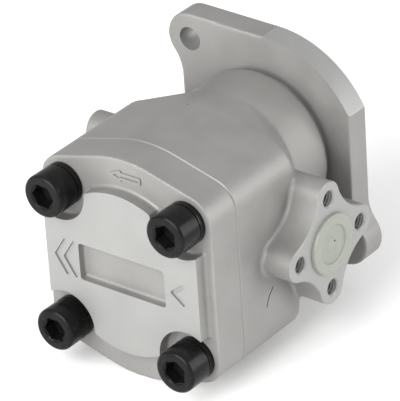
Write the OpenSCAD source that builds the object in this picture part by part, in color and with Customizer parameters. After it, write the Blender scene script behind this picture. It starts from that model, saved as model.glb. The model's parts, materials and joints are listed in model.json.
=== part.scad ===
// Hydraulic gear pump with an integral two-bolt mounting flange.
// Origin: centre of the mounting face, on the drive shaft's axis.
// +Y leaves the mounting face along the drive shaft, +X points to the inlet port, +Z is up.

/* [Gears] */
// Distance between the two gear axes
centre_distance = 26; // [22:0.5:32]
// Number of teeth on each gear
teeth = 10; // [9:1:12]
// Width of the teeth along the shafts
gear_width = 16; // [10:1:22]
// Tooth height outside the pitch circle
addendum = 2.15; // [1.6:0.05:2.4]
// Play between meshing teeth, along the pitch circle
backlash = 0.3; // [0.2:0.05:0.5]
// Gap between a tooth tip and the chamber wall
tip_gap = 0.15; // [0.1:0.05:0.3]

/* [Shafts and bearings] */
// Diameter of both shafts
shaft_dia = 15; // [12:0.5:18]
// Radial play of a shaft in its bush
journal_gap = 0.03; // [0.02:0.01:0.08]
// Wall of a bearing bush
bush_wall = 1.5; // [1:0.25:2.5]
// Length of a bearing block along the shafts
bearing_length = 22; // [16:1:27]
// Radial play of a bearing block in the chamber
block_gap = 0.05; // [0.03:0.01:0.1]
// Length of shaft that stands out of the pilot
shaft_reach = 25; // [18:1:35]
// Step in the shaft's radius, against which a hub seats
shaft_step = 0.5; // [0.25:0.25:2]
// Width and height of the shaft key
key_size = 5; // [4:0.5:6]
// Length of the shaft key
key_length = 16; // [12:1:20]

/* [Body] */
// Width across the flat sides of body and cover
body_width = 73; // [68:1:90]
// Radius of the four corners of body and cover
corner_radius = 10.25; // [9:0.25:11]
// Radius of the rounded top and bottom, about the body's centre
bulge_radius = 42.7; // [40:0.5:52]
// Metal between the chamber's end and the mounting face
front_wall = 16; // [14:0.5:20]
// Length of the full-width block behind the shoulder
block_length = 32; // [27:1:40]
// Length of the shoulder that narrows to the hub
shoulder_length = 12; // [8:1:14]
// Radius of the round hub behind the flange
hub_radius = 29; // [28:0.5:35]
// Radius of the relief groove between hub and flange
neck_radius = 25.5; // [24:0.5:27]
// Width of the relief groove
neck_width = 3.5; // [2.5:0.5:5]
// Radius of the housing over the driven gear
lobe_radius = 24.5; // [23:0.5:29]

/* [Flange] */
// Thickness of the flange
flange_thickness = 10; // [8:0.5:12]
// Radius of the flange's round edges
flange_radius = 41; // [39:0.5:50]
// Width across the flange's flat sides
flange_width = 73; // [66:1:80]
// Distance between the two bolt holes
flange_bolt_spacing = 90; // [88:1:108]
// Diameter of the bolt holes
flange_bolt_dia = 9; // [8.5:0.5:11]
// Radius of an ear about its bolt hole
ear_radius = 9.8; // [9:0.2:11.8]
// Radius of the hollow between an ear and the flat side
ear_hollow = 14; // [12:1:17]
// Diameter of the pilot spigot
pilot_dia = 50; // [46:1:56]
// Height of the pilot spigot
pilot_height = 7; // [6:0.5:8.5]

/* [Cover] */
// Thickness of the cover under the screw heads
cover_thickness = 14; // [12:0.5:18]
// Height of the machined pad over the screw seats
pad_height = 4.75; // [3.5:0.25:6]
// Radius of the pad's round edges
pad_radius = 31.2; // [29:0.2:34]
// Width across the pad's flat sides
pad_width = 65.7; // [60:0.5:66.5]
// Height of the pad's side lugs between the screw pockets
pad_lug = 36; // [34:1:40]
// Radius of the round pocket around each screw
pocket_radius = 12; // [11:0.25:13]
// Width of the blank recess in the pad
window_width = 37; // [30:0.5:42]
// Height of the blank recess
window_height = 14.3; // [10:0.5:16]
// Depth of the blank recess
window_depth = 3; // [1:0.25:4]

/* [Cover screws] */
// Distance between screws, left to right
screw_spacing_x = 52.5; // [50:0.5:58]
// Distance between screws, up and down
screw_spacing_z = 53; // [50:0.5:60]
// Thread diameter of the cover screws
screw_dia = 10; // [8:1:10]
// Length of a cover screw under its head
screw_length = 35; // [30:1:40]
// Thickness of a spring washer
washer_thickness = 2.4; // [2:0.1:2.6]

/* [Ports] */
// Distance from the shaft's axis to the inlet's face
inlet_face = 48.5; // [46:0.5:56]
// Distance from the shaft's axis to the outlet's face
outlet_face = 53; // [46:0.5:56]
// How far both ports lie in front of the middle of the gears
port_shift = 6; // [4:0.5:8]
// Diameter of a port
port_dia = 15; // [12:0.5:16]
// Pitch circle of the four threaded holes around a port
port_pcd = 35; // [33:0.5:38]
// Thread diameter of those holes
port_thread = 6; // [5:1:6]
// Radius of a port lobe about its threaded hole
port_lobe = 6.4; // [6:0.1:7]
// Distance from the port's axis to the hollow between two lobes
port_waist = 15.5; // [14.5:0.1:16]

/* [Hidden] */
$fn = 96;
over = 0.5; // how far a cut runs past the metal that it removes

// Stations along Y, from the mounting face back
chamber_end = -front_wall;
front_block_end = chamber_end - bearing_length;
rear_block_start = front_block_end - gear_width;
seam = rear_block_start - bearing_length;
screw_seat = seam - cover_thickness;
pad_face = screw_seat - pad_height;
gear_y = (front_block_end + rear_block_start) / 2;
shoulder_start = seam + block_length;
shoulder_end = shoulder_start + shoulder_length;
groove_start = -flange_thickness - neck_width;
neck_wall = 4;
hub_edge = 2.5;
hub_edge_bow = hub_edge * 0.3;
end_play = 0.1;
chamfer = 1;

// Gears
pitch_radius = centre_distance / 2;
tip_radius = pitch_radius + addendum;
root_clearance = 0.4;
root_radius = pitch_radius - addendum - root_clearance;
pressure_angle = 25;
base_radius = pitch_radius * cos(pressure_angle);
flank_steps = 6;
driven_z = -centre_distance;
body_z = -centre_distance / 2;
chamber_radius = tip_radius + tip_gap;
block_radius = chamber_radius - block_gap;

// Bearings and seals
shaft_radius = shaft_dia / 2;
bush_bore = shaft_radius + journal_gap;
bush_radius = bush_bore + bush_wall;
pressure_seal_gap = 0.2;
pressure_seal_outer = pitch_radius + pressure_seal_gap;
pressure_seal_width = 2;
backup_width = 1;
seal_play = 0.05;
seal_groove_depth = 2.4;
seal_ring_height = 2.2;
cover_seal_land = 1.9;
cover_seal_inner = chamber_radius + cover_seal_land;
cover_seal_width = 2;
cover_seal_height = 1.8;
cover_seal_room = 0.1;
bush_inset = 0.5;
shaft_inset = 1.5;
shaft_seal_radius = 15;
shaft_seal_height = 7;
shaft_pocket_depth = 10;
lip_gap = 0.05;
lip_wall = 1.9;
seal_case_wall = 1.4;
seal_web = 1.8;
spring_radius = 0.6;
spring_play = 0.1;
shaft_pocket_end = pilot_height - shaft_pocket_depth;
clip_start = shaft_pocket_end + shaft_seal_height;
shaft_hole_gap = 0.7;
shaft_hole = shaft_radius + shaft_hole_gap;
clip_thickness = 1.2;
clip_groove = 0.9;
clip_play = 0.1;
clip_width = 1.6;
clip_gap_angle = 14;
clip_lug_angle = 20;
clip_lug_inset = 2.6;
clip_lug_radius = 2.2;
plier_hole_radius = 0.9;
pilot_radius = pilot_dia / 2;
pilot_groove_depth = 2.5;
pilot_groove_width = 3.4;
pilot_groove_y = (pilot_height - chamfer) / 2;
pilot_ring_play = 0.03;
pilot_ring_radius = pilot_groove_depth / 2 - pilot_ring_play;
shaft_end = pilot_height + shaft_reach;
shaft_shoulder = pilot_height + 1;
hub_seat_radius = shaft_radius - shaft_step;
keyway_depth = key_size * 0.6;
key_setback = 3;
key_end = shaft_end - key_setback;

// Fasteners
edge_x = body_width / 2 - corner_radius;
corner_x = screw_spacing_x / 2;
corner_z = screw_spacing_z / 2;
head_radius = screw_dia * 0.8;
head_height = screw_dia;
hex_width = screw_dia * 0.8;
hex_depth = screw_dia / 2;
thread_play = 0.05;
washer_play = 0.15;
washer_split = 1;
washer_split_slant = 20;
washer_split_place = 215;
screw_hole_play = 0.5;
screw_hole = screw_dia / 2 + screw_hole_play;
thread_runout = 4;
tapped_depth = screw_length - washer_thickness - cover_thickness + thread_runout;
dowel_radius = 3;
dowel_length = 16;
dowel_end_play = 0.5;
dowel_inset = 8;
dowel_x = body_width / 2 - dowel_inset;

// Ports
port_radius = port_dia / 2;
port_depth = 14;
lobe_distance = port_pcd / 2;
port_thread_depth = 12;
thread_depth = 0.5;
port_minor = port_thread / 2 - thread_depth;
hollow_radius = (pow(port_waist, 2) + pow(lobe_distance, 2) - sqrt(2) * lobe_distance * port_waist
                 - pow(port_lobe, 2)) / (2 * port_lobe + sqrt(2) * lobe_distance - 2 * port_waist);
hollow_centre = (port_waist + hollow_radius) / sqrt(2);
lobe_half_angle = atan2(hollow_centre, hollow_centre - lobe_distance);
passage_radius = 5.5;
passage_overlap = 2;
passage_end = 4;
plug_radius = 11.2;
plug_rim = 1.3;
plug_recess = 0.9;
plug_stem = 10;
plug_wall = 1.2;
plug_floor = 1.1;
plug_land = 0.2;
plug_play = 0.08;
stem_radius = port_radius - plug_play;

// Points along an arc from one angle to another
function arc(x, y, r, from, to, steps = 12) =
    [for (i = [0:steps]) let (a = from + (to - from) * i / steps) [x + r * cos(a), y + r * sin(a)]];

// Angle at which the top line of body and cover touches both the corner and the bulge
corner_reach = norm([edge_x, corner_z]);
bulge_angle = atan2(corner_z, edge_x) + acos((bulge_radius - corner_radius) / corner_reach);

// Outline of body and cover, about their common centre
body_outline = concat(
    arc(edge_x, corner_z, corner_radius, 0, bulge_angle),
    arc(0, 0, bulge_radius, bulge_angle, 180 - bulge_angle),
    arc(-edge_x, corner_z, corner_radius, 180 - bulge_angle, 180),
    arc(-edge_x, -corner_z, corner_radius, 180, 180 + bulge_angle),
    arc(0, 0, bulge_radius, 180 + bulge_angle, 360 - bulge_angle),
    arc(edge_x, -corner_z, corner_radius, 360 - bulge_angle, 360));

// Outline of the flange: each half has an ear, a round edge and a flat side
ear_x = flange_bolt_spacing / 2 * cos(135);
ear_z = flange_bolt_spacing / 2 * sin(135);
ear_angle = 135 - acos((flange_radius - ear_radius) / (flange_bolt_spacing / 2));
flat_angle = acos(flange_width / 2 / flange_radius);
hollow_x = -flange_width / 2 - ear_hollow;
hollow_z = ear_z - sqrt(pow(ear_radius + ear_hollow, 2) - pow(hollow_x - ear_x, 2));
hollow_angle = atan2(ear_z - hollow_z, ear_x - hollow_x);
flange_half = concat(
    arc(0, 0, flange_radius, flat_angle, ear_angle, 16),
    arc(ear_x, ear_z, ear_radius, ear_angle, 180 + hollow_angle, 16),
    arc(hollow_x, hollow_z, ear_hollow, hollow_angle, 0, 8));
flange_outline = concat(flange_half, [for (p = flange_half) -p]);

// Outline of a port boss: four lobes with a hollow between each two
boss_outline = [for (q = [0:90:270])
    each [for (p = concat(
        arc(lobe_distance, 0, port_lobe, -lobe_half_angle, lobe_half_angle, 10),
        arc(hollow_centre, hollow_centre, hollow_radius, 180 + lobe_half_angle, 270 - lobe_half_angle, 6)))
        [p[0] * cos(q) - p[1] * sin(q), p[0] * sin(q) + p[1] * cos(q)]]];

// Gear outline: involute flanks above the base circle, radial below it
function involute(r) = tan(acos(base_radius / r)) * 180 / PI - acos(base_radius / r);
half_tooth = 90 / teeth - backlash / 2 / pitch_radius * 90 / PI;
function tooth_angle(r) = half_tooth + involute(pitch_radius) - involute(max(r, base_radius));
flank = [for (i = [0:flank_steps]) base_radius + (tip_radius - base_radius) * i / flank_steps];
function polar(r, a) = [r * cos(a), r * sin(a)];
function tooth(turn) = concat(
    [polar(root_radius, turn - tooth_angle(root_radius))],
    [for (r = flank) polar(r, turn - tooth_angle(r))],
    [for (i = [flank_steps:-1:0]) polar(flank[i], turn + tooth_angle(flank[i]))],
    [polar(root_radius, turn + tooth_angle(root_radius))]);
function gear_outline(turn) = [for (i = [0:teeth - 1]) each tooth(turn + i * 360 / teeth)];

// A flat shape in X and Z, thickened along Y
module slab(y0, y1) {
    translate([0, y1, 0]) rotate([90, 0, 0]) linear_extrude(height = y1 - y0) children();
}

// A flat shape in Y and Z, thickened along X
module side_slab(x0, x1) {
    translate([x0, 0, 0]) rotate([90, 0, 90]) linear_extrude(height = x1 - x0) children();
}

// A round bar along Y
module rod(y0, y1, r, x = 0, z = 0) {
    translate([x, y1, z]) rotate([90, 0, 0]) cylinder(h = y1 - y0, r = r);
}

// A profile of radius and Y, turned about an axis along Y
module turned(x = 0, z = 0) {
    translate([x, 0, z]) rotate([-90, 0, 0]) rotate_extrude() children();
}

// One child at each cover screw
module at_screws() {
    for (x = [-corner_x, corner_x], z = [body_z - corner_z, body_z + corner_z])
        translate([x, 0, z]) children();
}

// Two discs, one about each gear axis
module twin_disc(r) {
    circle(r = r);
    translate([0, driven_z]) circle(r = r);
}

// The modules of a port are drawn on the +X side: face is its distance from the shaft's axis
module port_boss(face) {
    side_slab(passage_end, face) translate([gear_y + port_shift, body_z]) polygon(boss_outline);
}

module port_passage(face) {
    reach = face - port_depth + passage_overlap - passage_end;
    translate([passage_end, gear_y, body_z])
        rotate([0, 90, atan2(port_shift, reach)])
            cylinder(h = norm([port_shift, reach]), r = passage_radius);
}

module port_cuts(face) {
    y = gear_y + port_shift;
    translate([face - port_depth, y, body_z])
        rotate([0, 90, 0]) cylinder(h = port_depth + over, r = port_radius);
    for (a = [0:90:270])
        translate([face - port_thread_depth, y + lobe_distance * cos(a), body_z + lobe_distance * sin(a)])
            rotate([0, 90, 0]) cylinder(h = port_thread_depth + over, r = port_minor);
    port_passage(face);
}

module shoulder() {
    hull() {
        slab(shoulder_start - over, shoulder_start)
            translate([0, body_z]) polygon(body_outline);
        slab(shoulder_end - over, shoulder_end) {
            circle(r = hub_radius, $fn = 48);
            translate([0, driven_z]) circle(r = lobe_radius, $fn = 48);
        }
    }
}

module flange() {
    slab(-flange_thickness, 0) polygon(flange_outline);
    turned() polygon([[0, -over], [pilot_radius, -over], [pilot_radius, pilot_height - chamfer],
                      [pilot_radius - chamfer, pilot_height], [0, pilot_height]]);
}

module hub() {
    rod(shoulder_end - over, groove_start - hub_edge, hub_radius);
    turned() polygon([[0, groove_start - hub_edge - over], [hub_radius, groove_start - hub_edge - over],
                      [hub_radius, groove_start - hub_edge],
                      [hub_radius - hub_edge_bow, groove_start - hub_edge_bow],
                      [hub_radius - hub_edge, groove_start], [0, groove_start]]);
    rod(groove_start - over, -flange_thickness + over, neck_radius);
    rod(shoulder_end - over, groove_start, lobe_radius, 0, driven_z);
    rod(groove_start - over, -flange_thickness + over, chamber_radius + neck_wall, 0, driven_z);
    slab(shoulder_end - over, groove_start)
        translate([-lobe_radius, driven_z]) square([2 * lobe_radius, centre_distance]);
}

module pump_body() {
    color("#b5b4b0") difference() {
        union() {
            slab(seam, shoulder_start - over / 2)
                translate([0, body_z]) polygon(body_outline);
            shoulder();
            hub();
            flange();
            port_boss(inlet_face);
            mirror([1, 0, 0]) port_boss(outlet_face);
        }
        slab(seam - over, chamber_end) twin_disc(chamber_radius);
        slab(seam - over, seam + cover_seal_height + cover_seal_room) difference() {
            twin_disc(cover_seal_inner + cover_seal_width + seal_play);
            twin_disc(cover_seal_inner - seal_play);
        }
        port_cuts(inlet_face);
        mirror([1, 0, 0]) port_cuts(outlet_face);
        rod(chamber_end - over, shaft_pocket_end + over, shaft_hole);
        rod(shaft_pocket_end, pilot_height + over, shaft_seal_radius);
        rod(clip_start, clip_start + clip_thickness + clip_play, shaft_seal_radius + clip_groove);
        turned() translate([pilot_radius - pilot_groove_depth, pilot_groove_y - pilot_groove_width / 2])
            square([pilot_groove_depth + over, pilot_groove_width]);
        for (s = [-1, 1])
            rod(-flange_thickness - over, over, flange_bolt_dia / 2, s * ear_x, s * ear_z);
        at_screws() rod(seam - over, seam + tapped_depth, screw_dia / 2 + thread_play);
        for (s = [-1, 1])
            rod(seam - over, seam + dowel_length / 2 + dowel_end_play, dowel_radius, s * dowel_x, body_z);
    }
}

module rear_cover() {
    color("#c4c3bf") difference() {
        union() {
            slab(screw_seat, seam) translate([0, body_z]) polygon(body_outline);
            slab(pad_face, screw_seat + over) translate([0, body_z]) {
                circle(r = pad_radius);
                square([pad_width, pad_lug], center = true);
            }
        }
        at_screws() {
            rod(pad_face - over, screw_seat, pocket_radius);
            rod(screw_seat - over, seam + over, screw_hole);
        }
        slab(pad_face - over, pad_face + window_depth) translate([0, body_z])
            square([window_width, window_height], center = true);
        for (s = [-1, 1])
            rod(seam - dowel_length / 2 - dowel_end_play, seam + over, dowel_radius, s * dowel_x, body_z);
    }
}

module cover_screw() {
    seat = screw_seat - washer_thickness;
    crown = seat - head_height;
    difference() {
        union() {
            turned() polygon([[0, crown], [head_radius - chamfer, crown], [head_radius, crown + chamfer],
                              [head_radius, seat], [0, seat]]);
            turned() polygon([[0, seat - over], [screw_dia / 2, seat - over],
                              [screw_dia / 2, seat + screw_length - chamfer],
                              [screw_dia / 2 - chamfer, seat + screw_length], [0, seat + screw_length]]);
        }
        translate([0, crown - over, 0]) rotate([-90, 0, 0])
            cylinder(h = hex_depth + over, r = hex_width / sqrt(3), $fn = 6);
    }
}

module cover_screws() {
    color("#2b2a2a") at_screws() cover_screw();
}

module spring_washers() {
    color("#333231") at_screws() difference() {
        rod(screw_seat - washer_thickness, screw_seat, head_radius);
        rod(screw_seat - washer_thickness - over, screw_seat + over, screw_dia / 2 + washer_play);
        rotate([0, washer_split_place, 0])
            translate([head_radius / 2 + over, screw_seat - washer_thickness / 2, 0])
                rotate([washer_split_slant, 0, 0])
                    cube([head_radius + over, washer_thickness * 3, washer_split], center = true);
    }
}

module dowel_pins() {
    color("#8d8f92") for (s = [-1, 1])
        rod(seam - dowel_length / 2, seam + dowel_length / 2, dowel_radius, s * dowel_x, body_z);
}

module cover_seal() {
    color("#1e1e1e") slab(seam, seam + cover_seal_height) difference() {
        twin_disc(cover_seal_inner + cover_seal_width);
        twin_disc(cover_seal_inner);
    }
}

// A gear with its shaft: turn is where one tooth points, from +X towards +Z, and ends is the
// outline of the shaft's front end
module gear_shaft(z, turn, ends) {
    slab(rear_block_start + end_play, front_block_end - end_play)
        translate([0, z]) difference() {
            polygon(gear_outline(turn));
            circle(r = shaft_radius - chamfer);
        }
    turned(0, z) polygon(concat([[0, seam + shaft_inset], [shaft_radius - chamfer, seam + shaft_inset],
                                 [shaft_radius, seam + shaft_inset + chamfer]], ends));
}

// A bar's chamfered end, as points of radius and Y
function bar_end(r, y) = [[r, y - chamfer], [r - chamfer, y], [0, y]];

module drive_gear() {
    color("#8a8c90") difference() {
        gear_shaft(0, -90, concat([[shaft_radius, shaft_shoulder], [hub_seat_radius, shaft_shoulder]],
                                  bar_end(hub_seat_radius, shaft_end)));
        translate([-key_size / 2, key_end - key_length, hub_seat_radius - keyway_depth])
            cube([key_size, key_length, keyway_depth + over]);
    }
}

module driven_gear() {
    color("#85878b") gear_shaft(driven_z, 90 + 180 / teeth, bar_end(shaft_radius, chamber_end - shaft_inset));
}

// A bearing block: face is the end that carries the pressure seal
module bearing_block(y0, y1, groove_y0, groove_y1) {
    difference() {
        slab(y0, y1) twin_disc(block_radius);
        for (z = [0, driven_z]) rod(y0 - over, y1 + over, bush_radius, 0, z);
        slab(groove_y0, groove_y1) difference() {
            twin_disc(pressure_seal_outer + 2 * seal_play + backup_width);
            twin_disc(pressure_seal_outer - pressure_seal_width - seal_play);
        }
    }
}

module front_bearing_block() {
    color("#a9a79d") bearing_block(front_block_end, chamber_end - end_play,
                                   chamber_end - end_play - seal_groove_depth, chamber_end + over);
}

module rear_bearing_block() {
    color("#a9a79d") bearing_block(seam + end_play, rear_block_start,
                                   seam - over, seam + end_play + seal_groove_depth);
}

module bush(y0, z) {
    color("#b08d57") difference() {
        rod(y0, y0 + bearing_length - 2 * bush_inset, bush_radius, 0, z);
        rod(y0 - over, y0 + bearing_length, bush_bore, 0, z);
    }
}

module drive_front_bush() { bush(front_block_end + bush_inset, 0); }
module drive_rear_bush() { bush(seam + bush_inset, 0); }
module driven_front_bush() { bush(front_block_end + bush_inset, driven_z); }
module driven_rear_bush() { bush(seam + bush_inset, driven_z); }

module pressure_seal(y0) {
    color("#26221f") slab(y0, y0 + seal_ring_height) difference() {
        twin_disc(pressure_seal_outer);
        twin_disc(pressure_seal_outer - pressure_seal_width);
    }
}

module backup_ring(y0) {
    color("#e6e2d2") slab(y0, y0 + seal_ring_height) difference() {
        twin_disc(pressure_seal_outer + seal_play + backup_width);
        twin_disc(pressure_seal_outer + seal_play);
    }
}

module front_pressure_seal() { pressure_seal(chamber_end - seal_ring_height); }
module rear_pressure_seal() { pressure_seal(seam); }
module front_backup_ring() { backup_ring(chamber_end - seal_ring_height); }
module rear_backup_ring() { backup_ring(seam); }

module shaft_key() {
    color("#7d7f83") translate([-key_size / 2, key_end - key_length, hub_seat_radius - keyway_depth])
        cube([key_size, key_length, key_size]);
}

// Lip seal: a cased outer wall, a web on the inner side and a lip that bears on the shaft
module shaft_seal() {
    back = shaft_pocket_end;
    front = back + shaft_seal_height;
    lip = shaft_radius + lip_gap;
    groove = lip + lip_wall;
    case = shaft_seal_radius - seal_case_wall;
    web = front - seal_web;
    color("#33302d") turned() polygon([
        [shaft_seal_radius, back], [shaft_seal_radius, front], [lip + 1.2, front], [lip + 0.4, front - 1],
        [lip + 0.4, back + 3.6], [lip, back + 3], [lip + 0.9, back + 1.2], [groove + 0.7, back + 1.2],
        [groove + 0.7, back + 2.2], [groove, back + 2.2], [groove, back + 3.8], [groove + 1, web],
        [case, web], [case, back]]);
}

module garter_spring() {
    color("#9a9da0") turned()
        translate([shaft_radius + lip_gap + lip_wall + spring_radius + spring_play, shaft_pocket_end + 3])
            circle(r = spring_radius, $fn = 24);
}

// Internal retaining ring with two lugs that pliers grip
module seal_retaining_ring() {
    color("#4a4a4c") slab(clip_start, clip_start + clip_thickness) {
        difference() {
            circle(r = shaft_seal_radius + clip_groove - clip_play);
            circle(r = shaft_seal_radius - clip_width);
            polygon([[0, 0], polar(pilot_radius, -90 - clip_gap_angle),
                     polar(pilot_radius, -90 + clip_gap_angle)]);
        }
        for (a = [-90 - clip_lug_angle, -90 + clip_lug_angle])
            translate(polar(shaft_seal_radius - clip_lug_inset, a)) difference() {
                circle(r = clip_lug_radius);
                circle(r = plier_hole_radius);
            }
    }
}

module pilot_o_ring() {
    color("#1b1b1b") turned()
        translate([pilot_radius - pilot_groove_depth + pilot_ring_radius, pilot_groove_y])
            circle(r = pilot_ring_radius, $fn = 32);
}

// Push-in plug that keeps dirt out of a port on the +X side
module port_plug(face) {
    color("#c9ccb8") translate([face, gear_y + port_shift, body_z]) rotate([0, 90, 0]) difference() {
        union() {
            cylinder(h = plug_rim, r = plug_radius);
            translate([0, 0, -plug_stem]) cylinder(h = plug_stem + over, r = stem_radius);
        }
        translate([0, 0, plug_rim - plug_recess])
            cylinder(h = plug_recess + over, r = stem_radius - plug_land);
        translate([0, 0, -plug_stem - over])
            cylinder(h = plug_stem + over + plug_rim - plug_recess - plug_floor, r = stem_radius - plug_wall);
    }
}

module inlet_plug() { port_plug(inlet_face); }
module outlet_plug() { mirror([1, 0, 0]) port_plug(outlet_face); }

pump_body();
rear_cover();
cover_screws();
spring_washers();
dowel_pins();
cover_seal();
drive_gear();
driven_gear();
front_bearing_block();
rear_bearing_block();
drive_front_bush();
drive_rear_bush();
driven_front_bush();
driven_rear_bush();
front_pressure_seal();
rear_pressure_seal();
front_backup_ring();
rear_backup_ring();
shaft_key();
shaft_seal();
garter_spring();
seal_retaining_ring();
pilot_o_ring();
inlet_plug();
outlet_plug();
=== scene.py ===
"""Detailed surfaces for a hydraulic gear pump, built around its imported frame."""

import json
import math
from functools import partial

import bmesh
import bpy
from mathutils import Matrix, Vector
from mathutils import noise as noise_at


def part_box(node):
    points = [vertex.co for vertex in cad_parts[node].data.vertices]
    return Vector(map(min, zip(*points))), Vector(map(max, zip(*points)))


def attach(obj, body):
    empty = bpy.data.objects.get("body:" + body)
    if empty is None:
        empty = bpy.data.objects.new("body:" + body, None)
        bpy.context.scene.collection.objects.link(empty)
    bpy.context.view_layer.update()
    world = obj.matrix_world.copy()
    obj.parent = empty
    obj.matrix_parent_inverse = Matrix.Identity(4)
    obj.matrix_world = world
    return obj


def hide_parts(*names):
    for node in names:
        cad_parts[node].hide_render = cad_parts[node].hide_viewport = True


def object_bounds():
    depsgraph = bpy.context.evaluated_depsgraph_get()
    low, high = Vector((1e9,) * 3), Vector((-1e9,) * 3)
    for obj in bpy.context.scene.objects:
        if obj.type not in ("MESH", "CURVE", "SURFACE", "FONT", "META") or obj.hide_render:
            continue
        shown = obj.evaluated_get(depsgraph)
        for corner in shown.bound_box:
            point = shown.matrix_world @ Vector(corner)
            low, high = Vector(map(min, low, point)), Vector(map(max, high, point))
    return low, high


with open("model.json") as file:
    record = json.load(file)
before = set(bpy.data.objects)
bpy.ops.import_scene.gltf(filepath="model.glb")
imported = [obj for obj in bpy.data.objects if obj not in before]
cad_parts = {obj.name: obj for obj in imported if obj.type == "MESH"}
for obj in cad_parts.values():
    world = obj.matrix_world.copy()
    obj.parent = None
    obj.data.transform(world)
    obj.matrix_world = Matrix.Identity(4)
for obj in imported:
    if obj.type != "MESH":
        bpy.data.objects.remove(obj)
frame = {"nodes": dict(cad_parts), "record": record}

bl_info = {
    "name": "Gear Pump Surfaces",
    "version": (1, 0, 0),
    "blender": (4, 5, 0),
    "location": "View3D > Sidebar > Gear Pump",
    "description": "Cast, milled and turned surfaces of a hydraulic gear pump",
    "category": "Object",
}

MM = 0.001
WAVE_LENGTH = 5 * MM
FAR = 80 * MM
OVER = 1 * MM
BODY_ROUNDS, COVER_ROUNDS = 4, 5
COVER_GRAIN = 0.8
SKIN_KEPT = 0.35
PIT = ((-6.1, -46.8, 30.2), (-5.2, -46.5, 30.3), (-5.4, -45.7, 30.1))
PIT_DEPTH = 1.4 * MM
SCRATCH = ((-62.3, -30.8), (-60.8, -27.5), (-58.3, -24.8))
SCRATCH_WIDTH, SCRATCH_DEPTH = 0.45 * MM, 0.35 * MM
PLUG_GLOW, BLACK_SHEEN = 0.1, 0.12
CAD_BOX = [list(corner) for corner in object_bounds()]
MOUNTS = {mount["name"]: mount for mount in frame["record"]["mounts"]}

COVER_LOW, COVER_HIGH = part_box("rear_cover")
SEAM = COVER_HIGH.y
PAD_FACE = COVER_LOW.y
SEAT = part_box("spring_washers")[1].y
BULGE = (COVER_HIGH.z - COVER_LOW.z) / 2
BODY_Z = (COVER_HIGH.z + COVER_LOW.z) / 2
DRIVEN_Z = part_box("driven_gear")[0].z / 2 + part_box("driven_gear")[1].z / 2
PORTS = {1: MOUNTS["inlet_port_bolts"]["pos_m"], -1: MOUNTS["outlet_port_bolts"]["pos_m"]}
PORT_BOLTS = MOUNTS["inlet_port_bolts"]["dims"]
FLANGE_BOLTS = MOUNTS["flange_bolts"]["dims"]
PILOT_RADIUS = MOUNTS["pilot"]["dims"]["r_mm"] * MM
PILOT_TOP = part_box("pump_body")[1].y


def length(name, text, value):
    """A length property with its default in metres."""
    return bpy.props.FloatProperty(
        name=name, description=text, default=value, unit="LENGTH", precision=5
    )


def angle(name, text, degrees):
    """An angle property with its default in degrees."""
    return bpy.props.FloatProperty(
        name=name, description=text, default=math.radians(degrees), subtype="ANGLE"
    )


def colour(name, text, value):
    """A colour property with a linear default."""
    return bpy.props.FloatVectorProperty(
        name=name, description=text, default=value, subtype="COLOR", size=3, min=0, max=1
    )


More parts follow.
